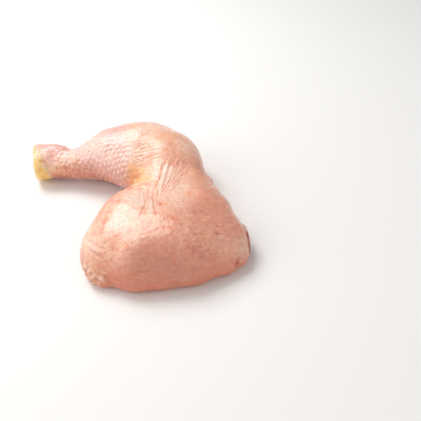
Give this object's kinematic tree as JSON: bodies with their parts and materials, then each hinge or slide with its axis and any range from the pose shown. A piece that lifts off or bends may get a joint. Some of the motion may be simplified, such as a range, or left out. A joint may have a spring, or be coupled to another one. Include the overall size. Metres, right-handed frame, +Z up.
{
  "type": "raw whole chicken leg",
  "caption": "Raw whole chicken leg, thigh and drumstick in one piece, lying flat with its moist skin side up, to rest on a board, tray or pan as food.",
  "frame": {"origin": "under the middle of the bounding box, on the surface that the leg rests on", "axes": "+Z up, the shank points along -X to the hock, the thigh lies towards -Y"},
  "size_m": [0.1664, 0.1598, 0.0445],
  "materials": {
    "skin": "moist raw poultry skin, pale pink to cream, soft gloss",
    "cuff": "yellow scaly shank skin, half matt",
    "meat": "moist raw dark poultry meat",
    "bone": "moist bone end with cartilage, pinkish grey"
  },
  "bodies": {
    "root": {"skin": "skin", "hock_cuff": "cuff", "meat": "meat", "shin_bone": "bone"}
  },
  "joints": []
}
